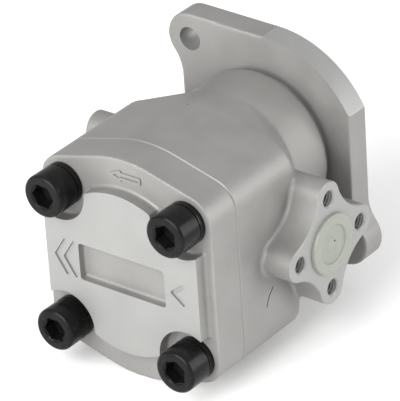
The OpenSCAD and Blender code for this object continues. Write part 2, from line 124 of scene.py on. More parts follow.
class CastingSizes(bpy.types.PropertyGroup):
    """Sizes of the two castings that the frame doesn't give by itself."""

    voxel: length("Voxel", "Grain of the cast skin's mesh", 0.6 * MM)
    wave: length("Wave", "How uneven the cast skin is", 0.06 * MM)
    edge_break: length("Edge break", "Chamfer where the castings are machined", 0.45 * MM)
    joint_gap: length("Joint gap", "Width of the dark line between body and cover", 0.3 * MM)
    corner: length("Corner", "Radius of the corners around the screws", 10.25 * MM)
    shoulder_start: length("Shoulder start", "Where the block begins to narrow", -44 * MM)
    shoulder_end: length("Shoulder end", "Where the shoulder meets the hub", -32 * MM)
    hub_radius: length("Hub radius", "Round hub behind the flange", 29 * MM)
    lobe_radius: length("Lobe radius", "Housing over the driven gear", 24.5 * MM)
    groove_start: length("Groove start", "Where the relief behind the flange begins", -13.5 * MM)
    neck_radius: length("Neck radius", "Bottom of that relief", 25.5 * MM)
    flange_thickness: length("Flange thickness", "Thickness of the flange", 10 * MM)
    flange_radius: length("Flange radius", "Round edges of the flange", 41 * MM)
    flange_half: length("Flange half width", "From the middle to a flat side", 36.5 * MM)
    ear_radius: length("Ear radius", "Radius of an ear about its hole", 9.8 * MM)
    ear_hollow: length("Ear hollow", "Hollow between an ear and the flat side", 14 * MM)
    machining: length("Machining allowance", "Metal that the tools take off", 2.5 * MM)
    lobe_tip: length("Port lobe", "Radius of a port lobe", 6.4 * MM)
    waist: length("Port waist", "From the port's axis to the hollow between lobes", 15.5 * MM)
    port_bore: length("Port bore", "Radius of a port", 7.5 * MM)
    port_depth: length("Port depth", "Depth of a port", 14 * MM)
    thread_depth: length("Thread depth", "Depth of a threaded hole", 12 * MM)
    countersink: length("Countersink", "Mouth radius of a threaded hole", 3.4 * MM)
    pad_radius: length("Pad radius", "Round edges of the cover's pad", 31.2 * MM)
    pad_half: length("Pad half width", "From the middle to a flat side", 32.85 * MM)
    pad_lug: length("Pad lug", "Half the height of a side lug", 18 * MM)
    pocket: length("Pocket", "Radius of the pocket around a screw", 12 * MM)
    window_half: length("Window half width", "Half the blank recess's width", 18.5 * MM)
    window_rise: length("Window half height", "Half the blank recess's height", 7.15 * MM)
    window_depth: length("Window depth", "Depth of the blank recess", 3 * MM)
    stroke: length("Mark width", "Width of an engraved stroke", 1.5 * MM)
    engraving: length("Mark depth", "Depth of an engraved stroke", 0.7 * MM)
    bead: length("Bead width", "Width of the raised arrow's outline", 0.9 * MM)
    bead_height: length("Bead height", "How far the raised arrow stands proud", 0.45 * MM)
    seal_pocket: length("Seal pocket", "Radius of the retaining ring's groove", 15.9 * MM)
    shaft_hole: length("Shaft hole", "Radius of the hole behind the lip seal", 8.2 * MM)
    ring_groove: length("O-ring groove", "Depth of the groove in the pilot", 2.5 * MM)
    screw_hole: length("Screw hole", "Radius of a screw hole in the cover", 5.5 * MM)
    tapped_radius: length("Tapped hole", "Radius of a cover screw's hole in the body", 5.05 * MM)
    tapped_depth: length("Tapped depth", "Depth of a cover screw's hole in the body", 22.6 * MM)


class FastenerSizes(bpy.types.PropertyGroup):
    """Sizes of screws, washers, plugs and threads."""

    head_radius: length("Head radius", "Radius of a screw head", 8 * MM)
    head_height: length("Head height", "Height of a screw head", 10 * MM)
    hex_flats: length("Hexagon", "Width of the socket across its flats", 8 * MM)
    hex_depth: length("Hexagon depth", "Depth of the socket", 5 * MM)
    shank_radius: length("Shank radius", "Radius of a screw's shank", 5 * MM)
    shank_length: length("Shank length", "Length under the head", 35 * MM)
    rounding: length("Edge rounding", "Rounding of a screw head's rim", 1.3 * MM)
    washer_height: length("Washer height", "Thickness of a spring washer", 2.4 * MM)
    plug_radius: length("Plug radius", "Radius of a plug's rim", 11.2 * MM)
    plug_rim: length("Plug rim", "How far the rim stands proud", 1.3 * MM)
    plug_recess: length("Plug recess", "Depth of the middle below the rim", 0.9 * MM)
    plug_stem: length("Plug stem", "Length of the stem in the port", 10 * MM)
    plug_wall: length("Plug wall", "Thickness of the stem's wall", 1.2 * MM)
    thread_pitch: length("Thread pitch", "Pitch of the port's threads", 1.0 * MM)


class FinishColours(bpy.types.PropertyGroup):
    """Base colours of the finishes."""

    casting: colour("Casting", "Blasted cast aluminium", (0.235, 0.230, 0.222))
    milled: colour("Milled face", "Milled aluminium", (0.275, 0.275, 0.267))
    black: colour("Black oxide", "Screws and washers", (0.008, 0.0075, 0.0075))
    steel: colour("Ground steel", "Shaft, gears and pins", (0.42, 0.42, 0.43))
    bronze: colour("Bush bronze", "Bearing bushes", (0.50, 0.36, 0.20))
    # The rubber colour also fills the scratch and the plugs' gate dimples as painted shade.
    rubber_and_painted_shade: colour("Rubber", "Seals and rings", (0.02, 0.02, 0.02))
    nylon: colour("Nylon", "Backup rings", (0.72, 0.69, 0.60))
    plug: colour("Plug plastic", "Shipping plugs", (0.24, 0.25, 0.218))


# Outlines


def arc(x, y, radius, start, end, steps=12):
    """Points along an arc, with its angles in degrees."""
    turns = [math.radians(start + (end - start) * i / steps) for i in range(steps + 1)]
    return [(x + radius * math.cos(a), y + radius * math.sin(a)) for a in turns]


def tidy_outline(points, gap=1e-6):
    """The points without neighbours that lie on each other."""
    kept = []
    for point in points:
        if not kept or math.dist(point, kept[-1]) > gap:
            kept.append(point)
    if math.dist(kept[0], kept[-1]) <= gap:
        kept.pop()
    return kept


def fastener_sizes():
    """The sizes of the fasteners."""
    return bpy.context.scene.pump_fasteners


def screw_places(sizes):
    """Half the distances between the cover screws, in X and Z."""
    reach = COVER_HIGH.x - sizes.corner
    head = fastener_sizes().head_radius
    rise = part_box("cover_screws")[1].z - BODY_Z - head
    return reach, rise


def screw_centres(sizes):
    """Points on the axes of the four cover screws."""
    x, z = screw_places(sizes)
    return [(sx * x, 0, BODY_Z + sz * z) for sx in (-1, 1) for sz in (-1, 1)]


def body_outline(sizes, inset=0.0):
    """Outline of body and cover in X and Z."""
    x, z = screw_places(sizes)
    turn = math.degrees(math.atan2(z, x))
    turn += math.degrees(math.acos((BULGE - sizes.corner) / math.hypot(x, z)))
    corner, bulge = sizes.corner - inset, BULGE - inset
    points = arc(x, z, corner, 0, turn)
    points += arc(0, 0, bulge, turn, 180 - turn, 20)
    points += arc(-x, z, corner, 180 - turn, 180)
    points += arc(-x, -z, corner, 180, 180 + turn)
    points += arc(0, 0, bulge, 180 + turn, 360 - turn, 20)
    points += arc(x, -z, corner, 360 - turn, 360)
    return tidy_outline([(px, pz + BODY_Z) for px, pz in points])


def flange_outline(sizes, inset=0.0):
    """Outline of the flange in X and Z: two halves, each with an ear and a flat side."""
    reach = FLANGE_BOLTS["pcd_mm"] * MM / 2
    ear_x, ear_z = reach * math.cos(math.radians(135)), reach * math.sin(math.radians(135))
    radius, ear, hollow = sizes.flange_radius, sizes.ear_radius, sizes.ear_hollow
    flat = math.degrees(math.acos(sizes.flange_half / radius))
    join = 135 - math.degrees(math.acos((radius - ear) / reach))
    hollow_x = -sizes.flange_half - hollow
    hollow_z = ear_z - math.sqrt((ear + hollow) ** 2 - (hollow_x - ear_x) ** 2)
    turn = math.degrees(math.atan2(ear_z - hollow_z, ear_x - hollow_x))
    half = arc(0, 0, radius - inset, flat, join, 20)
    half += arc(ear_x, ear_z, ear - inset, join, 180 + turn, 20)
    half += arc(hollow_x, hollow_z, hollow + inset, turn, 0, 10)
    return tidy_outline(half + [(-x, -z) for x, z in half])


def boss_outline(sizes, side, inset=0.0):
    """Outline of a side's port boss in Y and Z: four lobes and the hollows between them."""
    reach, tip, waist = PORT_BOLTS["pcd_mm"] * MM / 2, sizes.lobe_tip - inset, sizes.waist - inset
    port_y, port_z = PORTS[side][1:]
    root = math.sqrt(2)
    hollow = (waist**2 + reach**2 - root * reach * waist - tip**2) / (
        2 * tip + root * reach - 2 * waist
    )
    centre = (waist + hollow) / root
    half = math.degrees(math.atan2(centre, centre - reach))
    quarter = arc(reach, 0, tip, -half, half, 12)
    quarter += arc(centre, centre, hollow, 180 + half, 270 - half, 10)
    points = []
    for step in range(4):
        c, s = math.cos(step * math.pi / 2), math.sin(step * math.pi / 2)
        points += [(port_y + y * c - z * s, port_z + y * s + z * c) for y, z in quarter]
    return tidy_outline(points)


def stroke_outline(start, end, width):
    """A stroke with round ends."""
    turn = math.degrees(math.atan2(end[1] - start[1], end[0] - start[0]))
    points = arc(*end, width / 2, turn - 90, turn + 90, 8)
    return points + arc(*start, width / 2, turn + 90, turn + 270, 8)


# Solids


def link(name, mesh):
    """A new object at the origin that holds the mesh."""
    piece = bpy.data.objects.new(name, mesh)
    bpy.context.scene.collection.objects.link(piece)
    return piece


def from_bmesh(name, shape):
    """An object from a bmesh, with its faces turned outwards."""
    bmesh.ops.recalc_face_normals(shape, faces=shape.faces)
    mesh = bpy.data.meshes.new(name)
    shape.to_mesh(mesh)
    shape.free()
    return link(name, mesh)


def loft(sections, along="Y", name="solid"):
    """A solid through outlines of as many points each, given as (outline, place) pairs.

    The outlines lie in X and Z along Y, or in Y and Z along X.
    """
    shape = bmesh.new()
    rings = []
    for outline, depth in sections:
        spots = [(u, depth, v) if along == "Y" else (depth, u, v) for u, v in outline]
        rings.append([shape.verts.new(spot) for spot in spots])
    shape.faces.new(rings[0])
    shape.faces.new(rings[-1])
    count = len(rings[0])
    for one, two in zip(rings, rings[1:]):
        for i in range(count):
            j = (i + 1) % count
            shape.faces.new((one[i], one[j], two[j], two[i]))
    return from_bmesh(name, shape)


def prism(outline, low, high, along="Y", name="solid"):
    """One outline thickened along Y or X."""
    return loft([(outline, low), (outline, high)], along, name)


def lathe(profile, centre=(0, 0, 0), along="Y", steps=96, name="solid"):
    """A closed solid of revolution: the profile is (radius, place) and ends on the axis."""
    shape = bmesh.new()
    rings = []
    for radius, place in profile:
        if radius < 1e-9:
            spots = [(0.0, 0.0)]
        else:
            turns = [2 * math.pi * i / steps for i in range(steps)]
            spots = [(radius * math.cos(a), radius * math.sin(a)) for a in turns]
        ring = []
        for u, v in spots:
            spot = Vector((u, place, v)) if along == "Y" else Vector((place, u, v))
            ring.append(shape.verts.new(spot + Vector(centre)))
        rings.append(ring)
    for one, two in zip(rings, rings[1:]):
        for i in range(steps):
            j = (i + 1) % steps
            corners = [one[i % len(one)], one[j % len(one)], two[j % len(two)], two[i % len(two)]]
            loop = list(dict.fromkeys(corners))
            if len(loop) > 2:
                shape.faces.new(loop)
    return from_bmesh(name, shape)


def rod(low, high, radius, centre=(0, 0, 0), along="Y", steps=96):
    """A plain round bar."""
    return lathe([(0, low), (radius, low), (radius, high), (0, high)], centre, along, steps)


def hull(points, name="hull"):
    """The convex hull of the points."""
    shape = bmesh.new()
    for point in points:
        shape.verts.new(point)
    made = bmesh.ops.convex_hull(shape, input=shape.verts)
    loose = [e for e in made["geom_interior"] if isinstance(e, bmesh.types.BMVert)]
    bmesh.ops.delete(shape, geom=loose, context="VERTS")
    return from_bmesh(name, shape)


def block(low, high):
    """A box between two corners."""
    outline = [(low[0], low[2]), (high[0], low[2]), (high[0], high[2]), (low[0], high[2])]
    return prism(outline, low[1], high[1])


def drop(piece):
    """Removes a helper object and its mesh."""
    mesh = piece.data
    bpy.data.objects.remove(piece)
    bpy.data.meshes.remove(mesh)


def join(solids):
    """One object that holds the meshes of all the solids."""
    shape = bmesh.new()
    for solid in solids:
        shape.from_mesh(solid.data)
    mesh = bpy.data.meshes.new("joined")
    shape.to_mesh(mesh)
    shape.free()
    for solid in solids:
        drop(solid)
    return link("joined", mesh)


def bake(piece):
    """Turns the modifiers of a piece into its plain mesh."""
    graph = bpy.context.evaluated_depsgraph_get()
    mesh = bpy.data.meshes.new_from_object(piece.evaluated_get(graph))
    old = piece.data
    piece.modifiers.clear()
    piece.data = mesh
    bpy.data.meshes.remove(old)
    return piece


def cast_skin(solids, voxel, rounds, wave, keep):
    """Fuses the solids into one skin with the soft edges, fillets and waves of a casting.

    rounds sets the size of the fillets, wave how far the skin dips, and keep the share of its
    triangles that stays.
    """
    skin = join(solids)
    remesh = skin.modifiers.new("fuse", "REMESH")
    remesh.mode = "VOXEL"
    remesh.voxel_size = voxel
    soften = skin.modifiers.new("soften", "SMOOTH")
    soften.factor = 0.5
    soften.iterations = rounds
    bake(skin)
    count = 3 * len(skin.data.vertices)
    places, normals = [0.0] * count, [0.0] * count
    skin.data.vertices.foreach_get("co", places)
    skin.data.vertices.foreach_get("normal", normals)
    for at in range(0, count, 3):
        dip = wave * (0.5 + 0.5 * noise_at.noise(Vector(places[at : at + 3]) / WAVE_LENGTH))
        for axis in range(at, at + 3):
            places[axis] -= normals[axis] * dip
    skin.data.vertices.foreach_set("co", places)
    thin = skin.modifiers.new("thin", "DECIMATE")
    thin.ratio = keep
    return bake(skin)


def combine(piece, tool, operation="DIFFERENCE", material=None):
    """Cuts a tool out of a piece, or adds it, and gives the new faces the tool's material."""
    if material:
        tool.data.materials.clear()
        tool.data.materials.append(material)
    step = piece.modifiers.new("combine", "BOOLEAN")
    step.object = tool
    step.operation = operation
    step.solver = "MANIFOLD"
    step.material_mode = "TRANSFER"
    bake(piece)
    drop(tool)
    return piece


def break_edge(piece, outline, face, metal, size, along="Y"):
    """Chamfers the edge of a machined face.

    outline(inset) gives the face's outline, and metal is 1 or -1, the side on which the metal is.
    """
    wide = 4 * size
    low, high = sorted((face + metal * size, face - metal * wide))
    ring = prism(outline(-wide), low, high, along)
    inner, outer = face + metal * 2 * size, face - metal * wide * 1.01
    slope = [(outline(-size), inner), (outline(size + wide), outer)]
    combine(ring, loft(slope, along))
    return combine(piece, ring, material=finish_of("milled"))


def finish(piece, name, body, nodes=(), sharp=35):
    """Names a piece, smooths its shading up to an angle and hands it to the frame."""
    piece.name = name
    piece.data.name = name
    shape = bmesh.new()
    shape.from_mesh(piece.data)
    limit = math.radians(sharp)
    for edge in shape.edges:
        edge.smooth = len(edge.link_faces) == 2 and edge.calc_face_angle(0) < limit
    for face in shape.faces:
        face.smooth = True
    shape.to_mesh(piece.data)
    shape.free()
    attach(piece, body)
    if nodes:
        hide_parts(*nodes)
    return piece


# Finishes


def noise(nodes, links, coords, size, detail=3.0, rough=0.5):
    """A noise pattern with features of a given size in metres."""
    node = nodes.new("ShaderNodeTexNoise")
    node.inputs["Scale"].default_value = 1 / size
    node.inputs["Detail"].default_value = detail
    node.inputs["Roughness"].default_value = rough
    links.new(coords, node.inputs["Vector"])
    return node.outputs["Fac"]


def spread(nodes, links, value, low, high, start=0.3, end=0.7):
    """Maps a pattern onto a range."""
    node = nodes.new("ShaderNodeMapRange")
    for name, number in (("From Min", start), ("From Max", end), ("To Min", low), ("To Max", high)):
        node.inputs[name].default_value = number
    links.new(value, node.inputs["Value"])
    return node.outputs["Result"]


def bump(nodes, links, height, distance, strength, normal=None):
    """A bump from a height pattern, on top of an earlier one."""
    node = nodes.new("ShaderNodeBump")
    node.inputs["Strength"].default_value = strength
    node.inputs["Distance"].default_value = distance
    links.new(height, node.inputs["Height"])
    if normal:
        links.new(normal, node.inputs["Normal"])
    return node.outputs["Normal"]


def finish_material(name, base, metallic, rough, grain, depth, tint, patch, stretch=(1, 1, 1)):
    """A finish with mottled colour, uneven gloss and two layers of relief.

    grain and patch are feature sizes, depth is the relief, tint is how far the colour wanders,
    and stretch draws the grain out along the axes as a tool does.
    """
    material = bpy.data.materials.new(name)
    material.use_nodes = True
    nodes, links = material.node_tree.nodes, material.node_tree.links
    shader = nodes["Principled BSDF"]
    coords = nodes.new("ShaderNodeTexCoord").outputs["Object"]
    mapping = nodes.new("ShaderNodeMapping")
    mapping.inputs["Scale"].default_value = stretch
    links.new(coords, mapping.inputs["Vector"])
    drawn = mapping.outputs["Vector"]

    broad = noise(nodes, links, coords, patch, 4)
    fine = noise(nodes, links, drawn, grain, 5, 0.6)
    mix = nodes.new("ShaderNodeMix")
    mix.data_type = "RGBA"
    mix.inputs["A"].default_value = (*[c * (1 - tint) for c in base], 1)
    mix.inputs["B"].default_value = (*[min(1, c * (1 + tint)) for c in base], 1)
    links.new(spread(nodes, links, broad, 0, 1), mix.inputs["Factor"])
    speck = nodes.new("ShaderNodeMix")
    speck.data_type = "RGBA"
    speck.blend_type = "MULTIPLY"
    speck.inputs["Factor"].default_value = 1
    links.new(mix.outputs["Result"], speck.inputs["A"])
    grey = spread(nodes, links, fine, 1 - tint, 1 + tint * 0.5)
    links.new(grey, speck.inputs["B"])
    links.new(speck.outputs["Result"], shader.inputs["Base Color"])
    shader.inputs["Metallic"].default_value = metallic
    links.new(spread(nodes, links, broad, rough - 0.06, rough + 0.06), shader.inputs["Roughness"])

    relief = bump(nodes, links, fine, depth, 0.6)
    relief = bump(nodes, links, noise(nodes, links, coords, patch / 3, 2), depth * 3, 0.3, relief)
    links.new(relief, shader.inputs["Normal"])
    return material


def make_finishes():
    """Every finish of the pump by name."""
    tones = bpy.context.scene.pump_colours
    table = {
        "casting": (tones.casting, 0.35, 0.50, 0.28 * MM, 0.05 * MM, 0.07, 14 * MM),
        "milled": (tones.milled, 0.35, 0.42, 0.22 * MM, 0.010 * MM, 0.04, 14 * MM),
        "black_oxide": (tones.black, 0.0, 0.24, 0.30 * MM, 0.010 * MM, 0.25, 4 * MM),
        "ground_steel": (tones.steel, 1.0, 0.24, 0.20 * MM, 0.003 * MM, 0.05, 8 * MM),
        "bush_bronze": (tones.bronze, 0.9, 0.40, 0.25 * MM, 0.010 * MM, 0.12, 3 * MM),
        "turned_aluminium": (tones.milled, 0.9, 0.34, 0.25 * MM, 0.006 * MM, 0.05, 8 * MM),
        "rubber_and_painted_shade": (tones.rubber_and_painted_shade, 0.0, 0.55, 0.20 * MM, 0.010 * MM, 0.20, 3 * MM),
        "nylon": (tones.nylon, 0.0, 0.45, 0.30 * MM, 0.006 * MM, 0.05, 4 * MM),
        "moulded_plastic": (tones.plug, 0.0, 0.38, 0.60 * MM, 0.010 * MM, 0.05, 5 * MM),
    }
    for name, values in table.items():
        finish_material(name, tuple(values[0]), *values[1:])
    plastic = bpy.data.materials["moulded_plastic"].node_tree.nodes["Principled BSDF"]
    plastic.inputs["Subsurface Weight"].default_value = PLUG_GLOW
    plastic.inputs["Subsurface Scale"].default_value = 1.5 * MM
    black = bpy.data.materials["black_oxide"].node_tree.nodes["Principled BSDF"]
    black.inputs["Specular IOR Level"].default_value = BLACK_SHEEN


def finish_of(name):
    """A finish by name."""
    return bpy.data.materials[name]


# Geometry node trees


class Tree:
    """A small geometry node tree with named inputs."""

    def __init__(self, name):
        self.group = bpy.data.node_groups.new(name, "GeometryNodeTree")
        self.group.interface.new_socket("Geometry", in_out="OUTPUT", socket_type="NodeSocketGeometry")
        self.inputs = self.group.nodes.new("NodeGroupInput")
        self.values = {}

    def named(self, name, value, kind="NodeSocketFloat"):
        """Adds a named input and returns the socket that carries it."""
        item = self.group.interface.new_socket(name, in_out="INPUT", socket_type=kind)
        self.values[item.identifier] = value
        return self.inputs.outputs[name]

    def add(self, kind, **sources):
        """Adds a node and feeds its inputs, given by name, from sockets or values."""
        node = self.group.nodes.new(kind)
        for name, source in sources.items():
            socket = node.inputs[name.replace("_", " ")]
            if isinstance(source, bpy.types.NodeSocket):
                self.group.links.new(source, socket)
            else:
                socket.default_value = source
        return node

    def run(self, geometry, material, name):
        """Realizes the geometry, sets its material and returns it as a plain mesh object."""
        solid = self.add("GeometryNodeRealizeInstances", Geometry=geometry)
        painted = self.add(
            "GeometryNodeSetMaterial", Geometry=solid.outputs["Geometry"], Material=material
        )
        output = self.group.nodes.new("NodeGroupOutput")
        self.group.links.new(painted.outputs["Geometry"], output.inputs["Geometry"])
        piece = link(name, bpy.data.meshes.new(name))
        step = piece.modifiers.new(name, "NODES")
        step.node_group = self.group
        for identifier, value in self.values.items():
            step[identifier] = value
        bake(piece)
        bpy.data.node_groups.remove(self.group)
        return piece


# The body casting


def body_blank(sizes):
    """The raw body casting, with metal left where it is machined."""
    spare = sizes.machining
    outline = body_outline(sizes)
    hub, lobe = sizes.hub_radius, sizes.lobe_radius
    end = sizes.shoulder_end
    narrow = arc(0, 0, hub, 0, 350, 48) + arc(0, DRIVEN_Z, lobe, 0, 350, 48)
    shoulder = [(x, sizes.shoulder_start, z) for x, z in outline]
    shoulder += [(x, end, z) for x, z in narrow]
    back = -sizes.flange_thickness
    return [
        prism(outline, SEAM - spare, sizes.shoulder_start + spare / 4),
        hull(shoulder),
        rod(end - spare, sizes.groove_start, hub),
        rod(end - spare, sizes.groove_start, lobe, (0, 0, DRIVEN_Z)),
        block((-lobe, end - spare, DRIVEN_Z), (lobe, sizes.groove_start, 0)),
        rod(end, back + spare, sizes.neck_radius),
        prism(flange_outline(sizes), back, spare),
        *[machined_arc(sizes, turn, back, spare) for turn in (0, 180)],
        *[port_boss(sizes, side, spare) for side in PORTS],
    ]


def port_boss(sizes, side, spare):
    """The lobed boss of one port, from the middle of the body out."""
    low, high = sorted((0, PORTS[side][0] + side * spare))
    return prism(boss_outline(sizes, side), low, high, "X")


def machined_arc(sizes, turn, low, high):
    """Spare metal on a round edge of the flange that is turned to size."""
    flat = math.degrees(math.acos(sizes.flange_half / sizes.flange_radius))
    outer = sizes.flange_radius + sizes.machining
    points = arc(0, 0, outer, turn + flat + 1, turn + 89, 24)
    points += arc(0, 0, sizes.flange_radius / 2, turn + 89, turn + flat + 1, 8)
    return prism(tidy_outline(points), low, high)


def turning_tool(sizes, turn):
    """Removes that spare metal and leaves a sharp edge."""
    flat = math.degrees(math.acos(sizes.flange_half / sizes.flange_radius))
    points = arc(0, 0, sizes.flange_radius, turn + flat - 3, turn + 90, 40)
    points += arc(0, 0, sizes.flange_radius * 1.25, turn + 90, turn + flat - 3, 12)
    return prism(points, -sizes.flange_thickness - 6 * MM, 8 * MM)


def threaded_hole_tool(sizes, side, turn):
    """One threaded hole's core with its countersink, on the port face of one side."""
    face, port_y, port_z = PORTS[side]
    reach = PORT_BOLTS["pcd_mm"] * MM / 2
    core = PORT_BOLTS["hole_r_mm"] * MM + 0.35 * MM
    mouth = sizes.countersink
    profile = [
        (0, face - side * sizes.thread_depth),
        (core, face - side * sizes.thread_depth),
        (core, face - side * (mouth - core)),
        (mouth + OVER, face + side * OVER),
        (0, face + side * OVER),
    ]
    place = (0, port_y + reach * math.cos(turn), port_z + reach * math.sin(turn))
    return lathe(profile, place, "X", 40)


def machine_port(piece, sizes, side):
    """Mills one port's face and takes out its bore and its threaded holes."""
    milled = finish_of("milled")
    face, port_y, port_z = PORTS[side]
    near, away = sorted((face, side * FAR))
    combine(piece, block((near, -FAR, -FAR), (away, FAR, FAR)), material=milled)
    break_edge(piece, partial(boss_outline, sizes, side), face, -side, sizes.edge_break, "X")
    low, high = sorted((face - side * sizes.port_depth, face + side * OVER))
    combine(piece, rod(low, high, sizes.port_bore, (0, port_y, port_z), "X"), material=milled)
    for quarter in range(4):
        combine(piece, threaded_hole_tool(sizes, side, quarter * math.pi / 2), material=milled)


def machine_body(piece, sizes):
    """Takes the machined faces, bores and holes out of the body casting."""
    milled = finish_of("milled")
    combine(piece, block((-FAR, SEAM - FAR, -FAR), (FAR, SEAM, FAR)), material=milled)
    break_edge(piece, partial(body_outline, sizes), SEAM, 1, sizes.edge_break)
    combine(piece, block((-FAR, 0, -FAR), (FAR, FAR, FAR)), material=milled)
    for turn in (0, 180):
        combine(piece, turning_tool(sizes, turn), material=milled)
    break_edge(piece, partial(flange_outline, sizes), 0, -1, sizes.edge_break)
    for side in PORTS:
        machine_port(piece, sizes, side)

    edge = 1 * MM
    o_ring_low, o_ring_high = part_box("pilot_o_ring")
    groove = PILOT_RADIUS - sizes.ring_groove
    first, last = o_ring_low.y - 0.5 * MM, o_ring_high.y + 0.5 * MM
    pilot = [(0, -edge), (PILOT_RADIUS, -edge), (PILOT_RADIUS, first), (groove, first), (groove, last)]
    pilot += [(PILOT_RADIUS, last), (PILOT_RADIUS, PILOT_TOP - edge), (PILOT_RADIUS - edge, PILOT_TOP)]
    combine(piece, lathe([*pilot, (0, PILOT_TOP)], steps=128), "UNION", milled)

    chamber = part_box("front_bearing_block")[1].x + 0.05 * MM
    chamber_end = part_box("front_bearing_block")[1].y + 0.1 * MM
    for z in (0, DRIVEN_Z):
        combine(piece, rod(SEAM - OVER, chamber_end, chamber, (0, 0, z)), material=milled)
    seal_low, seal_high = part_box("shaft_seal")
    ring_low, ring_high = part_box("seal_retaining_ring")
    combine(piece, rod(chamber_end - OVER, seal_low.y + OVER, sizes.shaft_hole), material=milled)
    combine(piece, rod(seal_low.y, PILOT_TOP + OVER, seal_high.x), material=milled)
    combine(piece, rod(ring_low.y, ring_high.y + 0.1 * MM, sizes.seal_pocket), material=milled)
    reach = FLANGE_BOLTS["pcd_mm"] * MM / 2 / math.sqrt(2)
    for s in (-1, 1):
        hole = rod(-20 * MM, 5 * MM, FLANGE_BOLTS["hole_r_mm"] * MM, (s * reach, 0, -s * reach))
        combine(piece, hole, material=milled)
    end = SEAM + sizes.tapped_depth
    for place in screw_centres(sizes):
        combine(piece, rod(SEAM - OVER, end, sizes.tapped_radius, place, steps=48), material=milled)
    wear_marks(piece)
    return piece


def wear_marks(piece):
    """A pit in the top of the body and a scratch on its inlet side, whose walls carry painted shade."""
    pit = [Vector(corner) * MM for corner in PIT]
    pit += [corner - Vector((0, 0, PIT_DEPTH)) for corner in pit]
    combine(piece, hull(pit), material=finish_of("casting"))
    side = COVER_HIGH.x
    turns = [(y * MM, z * MM) for y, z in SCRATCH]
    for start, end in zip(turns, turns[1:]):
        groove = prism(stroke_outline(start, end, SCRATCH_WIDTH), side - SCRATCH_DEPTH, side + OVER, "X")
        # The scratch's walls take the near-black rubber finish: painted shade inside a groove too narrow
        # to shade itself.
        combine(piece, groove, material=finish_of("rubber_and_painted_shade"))


# The cover casting


def cover_blank(sizes):
    """The raw cover casting, before its pad is milled."""
    spare = sizes.machining
    low = PAD_FACE - spare
    pad = prism(arc(0, BODY_Z, sizes.pad_radius, 0, 360 - 3.75, 95), low, SEAT + spare)
    lugs = block(
        (-sizes.pad_half, low, BODY_Z - sizes.pad_lug),
        (sizes.pad_half, SEAT + spare, BODY_Z + sizes.pad_lug),
    )
    raised = combine(pad, lugs, "UNION")
    for place in screw_centres(sizes):
        combine(raised, rod(low - spare, SEAT, sizes.pocket, place))
    window = block(
        (-sizes.window_half, low - spare, BODY_Z - sizes.window_rise),
        (sizes.window_half, PAD_FACE + sizes.window_depth, BODY_Z + sizes.window_rise),
    )
    combine(raised, window)
    return [prism(body_outline(sizes), SEAT, SEAM + spare), raised]


def flow_marks(sizes):
    """Strokes of the engraved chevrons: two for the outlet, one for the inlet."""
    marks = []
    for x, half_height, depth in ((-26.5, 6.4, 4.2), (-22.6, 6.4, 4.2), (24.0, 3.4, 4.4)):
        tip = ((x - depth / 2) * MM, BODY_Z)
        for s in (-1, 1):
            tail = ((x + depth / 2) * MM, BODY_Z + s * half_height * MM)
            marks.append((tip, tail))
    return marks


def arrow_strokes():
    """Strokes of the raised arrow on the rim, which shows the way of the flow."""
    tip, wing, tail = -5.2, -1.2, 7.2
    mid, wide, thin = 23.3, 1.7, 0.9
    corners = [(tip, mid), (wing, mid + wide), (wing, mid + thin), (tail, mid + thin)]
    corners += [(tail, mid - thin), (wing, mid - thin), (wing, mid - wide), (tip, mid)]
    corners = [(x * MM, z * MM) for x, z in corners]
    return list(zip(corners, corners[1:]))


def machine_cover(piece, sizes):
    """Takes the milled pad, seam, holes and marks out of the cover casting."""
    milled = finish_of("milled")
    combine(piece, block((-FAR, PAD_FACE - FAR, -FAR), (FAR, PAD_FACE, FAR)), material=milled)
    combine(piece, block((-FAR, SEAM, -FAR), (FAR, FAR, FAR)), material=milled)
    break_edge(piece, partial(body_outline, sizes), SEAM, -1, sizes.edge_break)
    gap = prism(body_outline(sizes, -OVER), SEAM - sizes.joint_gap, SEAM + OVER)
    combine(gap, prism(body_outline(sizes, 2 * OVER), SEAM - OVER, SEAM + 2 * OVER))
    combine(piece, gap, material=milled)
    washer = fastener_sizes().head_radius + 0.5 * MM
    for place in screw_centres(sizes):
        combine(piece, rod(SEAT - 3 * MM, SEAT, washer, place), material=milled)
        hole = rod(SEAT - OVER, SEAM + OVER, sizes.screw_hole, place, steps=48)
        combine(piece, hole, material=milled)
    for start, end in flow_marks(sizes):
        tool = prism(
            stroke_outline(start, end, sizes.stroke), PAD_FACE - OVER, PAD_FACE + sizes.engraving
        )
        combine(piece, tool, material=milled)
    for start, end in arrow_strokes():
        bead = prism(stroke_outline(start, end, sizes.bead), SEAT - sizes.bead_height, SEAT + OVER)
        combine(piece, bead, "UNION", finish_of("casting"))
    return piece


# Operators


class PUMP_OT_body(bpy.types.Operator):
    """Builds the body casting with its flange, ports and machined faces."""

    bl_idname = "pump.body"
    bl_label = "Body Casting"

    def execute(self, context):
        sizes = context.scene.pump_casting
        skin = cast_skin(body_blank(sizes), sizes.voxel, BODY_ROUNDS, sizes.wave, SKIN_KEPT)
        skin.data.materials.append(finish_of("casting"))
        machine_body(skin, sizes)
        finish(skin, "body_casting", "housing", ("pump_body",))
        return {"FINISHED"}


class PUMP_OT_cover(bpy.types.Operator):
    """Builds the rear cover with its milled pad, screw pockets and flow marks."""

    bl_idname = "pump.cover"
    bl_label = "Rear Cover"

    def execute(self, context):
        sizes = context.scene.pump_casting
        voxel = sizes.voxel * COVER_GRAIN
        skin = cast_skin(cover_blank(sizes), voxel, COVER_ROUNDS, sizes.wave, SKIN_KEPT)
        skin.data.materials.append(finish_of("casting"))
        machine_cover(skin, sizes)
        finish(skin, "cover_casting", "housing", ("rear_cover",))
        return {"FINISHED"}


